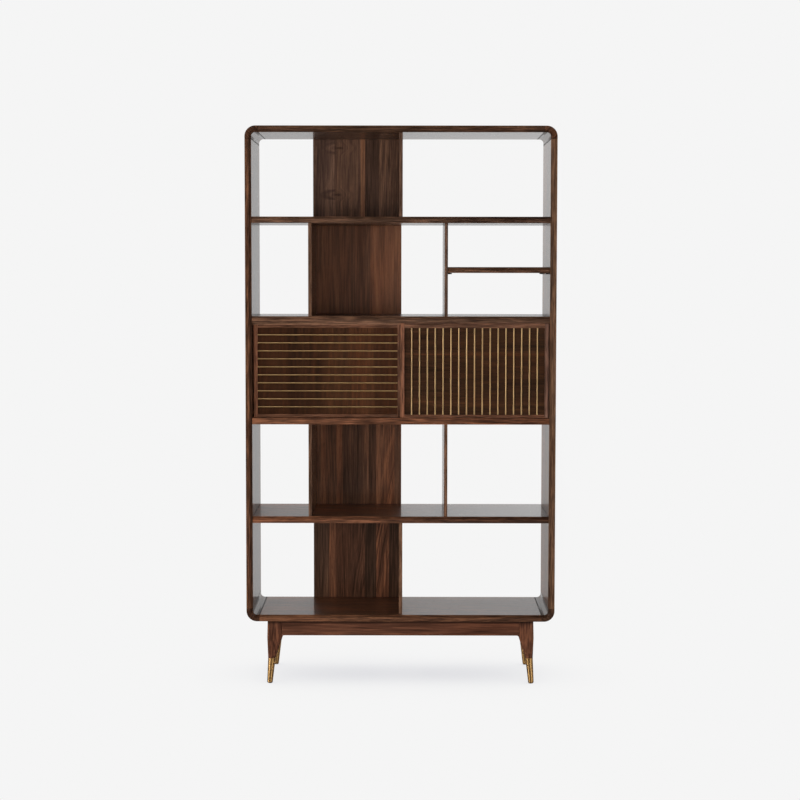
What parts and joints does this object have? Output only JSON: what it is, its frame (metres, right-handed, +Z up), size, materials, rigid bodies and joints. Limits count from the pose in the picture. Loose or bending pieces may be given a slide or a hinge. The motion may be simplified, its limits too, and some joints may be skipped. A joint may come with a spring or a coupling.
{
  "type": "bookcase",
  "caption": "Tall open walnut bookcase with rounded corners, offset dividers and back boards, a row closed by sliding doors with brass rods, and a low base on splayed brass-tipped legs.",
  "frame": {"origin": "centre of the footprint, on the floor", "axes": "+Z up, -Y towards the front with the doors, +X to the right seen from the front"},
  "size_m": [1.11, 0.39, 2.005],
  "materials": {
    "walnut_frame": "satin oiled walnut",
    "walnut_shelf": "satin oiled walnut",
    "walnut_divider": "satin oiled walnut",
    "walnut_back": "satin oiled walnut planks of mixed tone",
    "walnut_door": "satin oiled walnut",
    "walnut_door_panel": "satin dark walnut",
    "walnut_base": "satin oiled walnut",
    "brass_rod": "brushed brass",
    "brass_ferrule": "polished brass",
    "support_metal": "dark bronze",
    "beech": "plain beech",
    "screw_steel": "zinc-plated steel",
    "glide_nylon": "black nylon"
  },
  "bodies": {
    "case": {"top_board": "walnut_frame", "bottom_board": "walnut_frame", "left_side": "walnut_frame", "right_side": "walnut_frame", "top_left_corner": "walnut_frame", "top_right_corner": "walnut_frame", "bottom_left_corner": "walnut_frame", "bottom_right_corner": "walnut_frame", "upper_shelf": "walnut_shelf", "cabinet_top": "walnut_shelf", "cabinet_bottom": "walnut_shelf", "lower_shelf": "walnut_shelf", "parting_strip": "walnut_shelf", "top_row_divider": "walnut_divider", "second_row_left_divider": "walnut_divider", "second_row_right_divider": "walnut_divider", "fourth_row_left_divider": "walnut_divider", "fourth_row_right_divider": "walnut_divider", "bottom_row_divider": "walnut_divider", "cabinet_partition": "walnut_divider", "top_row_back": "walnut_back", "second_row_back": "walnut_back", "fourth_row_back": "walnut_back", "bottom_row_back": "walnut_back", "cabinet_back": "walnut_back", "front_apron": "walnut_base", "back_apron": "walnut_base", "left_apron": "walnut_base", "right_apron": "walnut_base", "front_left_leg": "walnut_base", "front_right_leg": "walnut_base", "back_left_leg": "walnut_base", "back_right_leg": "walnut_base", "front_left_ferrule": "brass_ferrule", "front_right_ferrule": "brass_ferrule", "back_left_ferrule": "brass_ferrule", "back_right_ferrule": "brass_ferrule", "shelf_supports": "support_metal", "corner_braces": "beech", "corner_dowels": "beech", "shelf_dowels": "beech", "divider_dowels": "beech", "back_dowels": "beech", "base_screws": "screw_steel"},
    "left_door": {"left_door_left_stile": "walnut_door", "left_door_right_stile": "walnut_door", "left_door_top_rail": "walnut_door", "left_door_bottom_rail": "walnut_door", "left_door_panel": "walnut_door_panel", "left_door_rods": "brass_rod", "left_door_glides": "glide_nylon"},
    "right_door": {"right_door_left_stile": "walnut_door", "right_door_right_stile": "walnut_door", "right_door_top_rail": "walnut_door", "right_door_bottom_rail": "walnut_door", "right_door_panel": "walnut_door_panel", "right_door_rods": "brass_rod", "right_door_glides": "glide_nylon"},
    "small_shelf": {"small_shelf": "walnut_shelf"}
  },
  "joints": [
    {"name": "left_door_slide", "type": "slide", "parent": "case", "child": "left_door", "axis": [1, 0, 0], "range_m": [0, 0.527]},
    {"name": "right_door_slide", "type": "slide", "parent": "case", "child": "right_door", "axis": [-1, 0, 0], "range_m": [0, 0.527]},
    {"name": "small_shelf_slide", "type": "slide", "parent": "case", "child": "small_shelf", "axis": [0, -1, 0], "range_m": [0, 0.34]}
  ]
}
